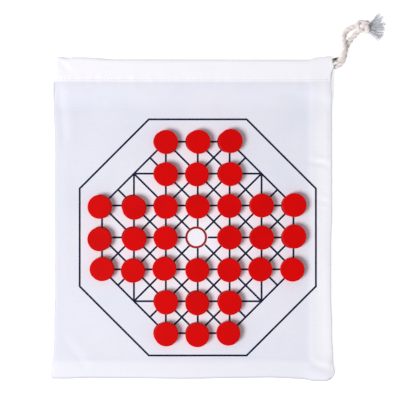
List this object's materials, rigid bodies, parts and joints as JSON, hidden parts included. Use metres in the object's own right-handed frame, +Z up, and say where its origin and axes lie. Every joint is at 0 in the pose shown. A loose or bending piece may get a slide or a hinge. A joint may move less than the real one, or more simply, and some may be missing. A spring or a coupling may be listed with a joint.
{
  "type": "peg solitaire board game bag",
  "caption": "Flat cotton drawstring bag with a cross-shaped jumping-game board printed on its front, set with round red counters around an empty middle space.",
  "frame": {"origin": "on the table under the middle of the bag, where the flat bag rests", "axes": "+Z up out of the printed front, +Y from the bottom seam to the mouth, +X from the folded side to the sewn side where the drawstring leaves"},
  "size_m": [0.263, 0.2897, 0.0077],
  "materials": {
    "cotton_cloth": "plain-woven white calico, matt, with fine slubs",
    "sewing_thread": "white cotton thread",
    "cotton_cord": "soft three-strand twisted cotton cord, off-white",
    "navy_ink": "screen-printed navy ink, soaked into the weave",
    "red_ink": "screen-printed red ink, soaked into the weave",
    "red_paint": "satin red paint on turned wood, edges eased"
  },
  "bodies": {
    "bag": {"back_panel": "cotton_cloth", "front_panel": "cotton_cloth", "left_fold": "cotton_cloth", "back_casing": "cotton_cloth", "front_casing": "cotton_cloth", "right_seam_allowance": "cotton_cloth", "bottom_seam_allowance": "cotton_cloth", "right_seam_thread": "sewing_thread", "bottom_seam_thread": "sewing_thread", "back_hem_thread": "sewing_thread", "front_hem_thread": "sewing_thread", "drawstring": "cotton_cord", "front_tail": "cotton_cord", "back_tail": "cotton_cord", "tail_knot": "cotton_cord", "tail_tassel": "cotton_cord", "border_print": "navy_ink", "grid_print": "navy_ink", "rings_print": "red_ink"},
    "counter_c1": {"counter_c1": "red_paint"},
    "counter_d1": {"counter_d1": "red_paint"},
    "counter_e1": {"counter_e1": "red_paint"},
    "counter_c2": {"counter_c2": "red_paint"},
    "counter_d2": {"counter_d2": "red_paint"},
    "counter_e2": {"counter_e2": "red_paint"},
    "counter_a3": {"counter_a3": "red_paint"},
    "counter_b3": {"counter_b3": "red_paint"},
    "counter_c3": {"counter_c3": "red_paint"},
    "counter_d3": {"counter_d3": "red_paint"},
    "counter_e3": {"counter_e3": "red_paint"},
    "counter_f3": {"counter_f3": "red_paint"},
    "counter_g3": {"counter_g3": "red_paint"},
    "counter_a4": {"counter_a4": "red_paint"},
    "counter_b4": {"counter_b4": "red_paint"},
    "counter_c4": {"counter_c4": "red_paint"},
    "counter_e4": {"counter_e4": "red_paint"},
    "counter_f4": {"counter_f4": "red_paint"},
    "counter_g4": {"counter_g4": "red_paint"},
    "counter_a5": {"counter_a5": "red_paint"},
    "counter_b5": {"counter_b5": "red_paint"},
    "counter_c5": {"counter_c5": "red_paint"},
    "counter_d5": {"counter_d5": "red_paint"},
    "counter_e5": {"counter_e5": "red_paint"},
    "counter_f5": {"counter_f5": "red_paint"},
    "counter_g5": {"counter_g5": "red_paint"},
    "counter_c6": {"counter_c6": "red_paint"},
    "counter_d6": {"counter_d6": "red_paint"},
    "counter_e6": {"counter_e6": "red_paint"},
    "counter_c7": {"counter_c7": "red_paint"},
    "counter_d7": {"counter_d7": "red_paint"},
    "counter_e7": {"counter_e7": "red_paint"}
  },
  "joints": [
    {"name": "lift_c1", "type": "slide", "parent": "bag", "child": "counter_c1", "axis": [0, 0, 1], "range_m": [0, 0.025]},
    {"name": "lift_d1", "type": "slide", "parent": "bag", "child": "counter_d1", "axis": [0, 0, 1], "range_m": [0, 0.025]},
    {"name": "lift_e1", "type": "slide", "parent": "bag", "child": "counter_e1", "axis": [0, 0, 1], "range_m": [0, 0.025]},
    {"name": "lift_c2", "type": "slide", "parent": "bag", "child": "counter_c2", "axis": [0, 0, 1], "range_m": [0, 0.025]},
    {"name": "lift_d2", "type": "slide", "parent": "bag", "child": "counter_d2", "axis": [0, 0, 1], "range_m": [0, 0.025]},
    {"name": "lift_e2", "type": "slide", "parent": "bag", "child": "counter_e2", "axis": [0, 0, 1], "range_m": [0, 0.025]},
    {"name": "lift_a3", "type": "slide", "parent": "bag", "child": "counter_a3", "axis": [0, 0, 1], "range_m": [0, 0.025]},
    {"name": "lift_b3", "type": "slide", "parent": "bag", "child": "counter_b3", "axis": [0, 0, 1], "range_m": [0, 0.025]},
    {"name": "lift_c3", "type": "slide", "parent": "bag", "child": "counter_c3", "axis": [0, 0, 1], "range_m": [0, 0.025]},
    {"name": "lift_d3", "type": "slide", "parent": "bag", "child": "counter_d3", "axis": [0, 0, 1], "range_m": [0, 0.025]},
    {"name": "lift_e3", "type": "slide", "parent": "bag", "child": "counter_e3", "axis": [0, 0, 1], "range_m": [0, 0.025]},
    {"name": "lift_f3", "type": "slide", "parent": "bag", "child": "counter_f3", "axis": [0, 0, 1], "range_m": [0, 0.025]},
    {"name": "lift_g3", "type": "slide", "parent": "bag", "child": "counter_g3", "axis": [0, 0, 1], "range_m": [0, 0.025]},
    {"name": "lift_a4", "type": "slide", "parent": "bag", "child": "counter_a4", "axis": [0, 0, 1], "range_m": [0, 0.025]},
    {"name": "lift_b4", "type": "slide", "parent": "bag", "child": "counter_b4", "axis": [0, 0, 1], "range_m": [0, 0.025]},
    {"name": "lift_c4", "type": "slide", "parent": "bag", "child": "counter_c4", "axis": [0, 0, 1], "range_m": [0, 0.025]},
    {"name": "lift_e4", "type": "slide", "parent": "bag", "child": "counter_e4", "axis": [0, 0, 1], "range_m": [0, 0.025]},
    {"name": "lift_f4", "type": "slide", "parent": "bag", "child": "counter_f4", "axis": [0, 0, 1], "range_m": [0, 0.025]},
    {"name": "lift_g4", "type": "slide", "parent": "bag", "child": "counter_g4", "axis": [0, 0, 1], "range_m": [0, 0.025]},
    {"name": "lift_a5", "type": "slide", "parent": "bag", "child": "counter_a5", "axis": [0, 0, 1], "range_m": [0, 0.025]},
    {"name": "lift_b5", "type": "slide", "parent": "bag", "child": "counter_b5", "axis": [0, 0, 1], "range_m": [0, 0.025]},
    {"name": "lift_c5", "type": "slide", "parent": "bag", "child": "counter_c5", "axis": [0, 0, 1], "range_m": [0, 0.025]},
    {"name": "lift_d5", "type": "slide", "parent": "bag", "child": "counter_d5", "axis": [0, 0, 1], "range_m": [0, 0.025]},
    {"name": "lift_e5", "type": "slide", "parent": "bag", "child": "counter_e5", "axis": [0, 0, 1], "range_m": [0, 0.025]},
    {"name": "lift_f5", "type": "slide", "parent": "bag", "child": "counter_f5", "axis": [0, 0, 1], "range_m": [0, 0.025]},
    {"name": "lift_g5", "type": "slide", "parent": "bag", "child": "counter_g5", "axis": [0, 0, 1], "range_m": [0, 0.025]},
    {"name": "lift_c6", "type": "slide", "parent": "bag", "child": "counter_c6", "axis": [0, 0, 1], "range_m": [0, 0.025]},
    {"name": "lift_d6", "type": "slide", "parent": "bag", "child": "counter_d6", "axis": [0, 0, 1], "range_m": [0, 0.025]},
    {"name": "lift_e6", "type": "slide", "parent": "bag", "child": "counter_e6", "axis": [0, 0, 1], "range_m": [0, 0.025]},
    {"name": "lift_c7", "type": "slide", "parent": "bag", "child": "counter_c7", "axis": [0, 0, 1], "range_m": [0, 0.025]},
    {"name": "lift_d7", "type": "slide", "parent": "bag", "child": "counter_d7", "axis": [0, 0, 1], "range_m": [0, 0.025]},
    {"name": "lift_e7", "type": "slide", "parent": "bag", "child": "counter_e7", "axis": [0, 0, 1], "range_m": [0, 0.025]}
  ]
}
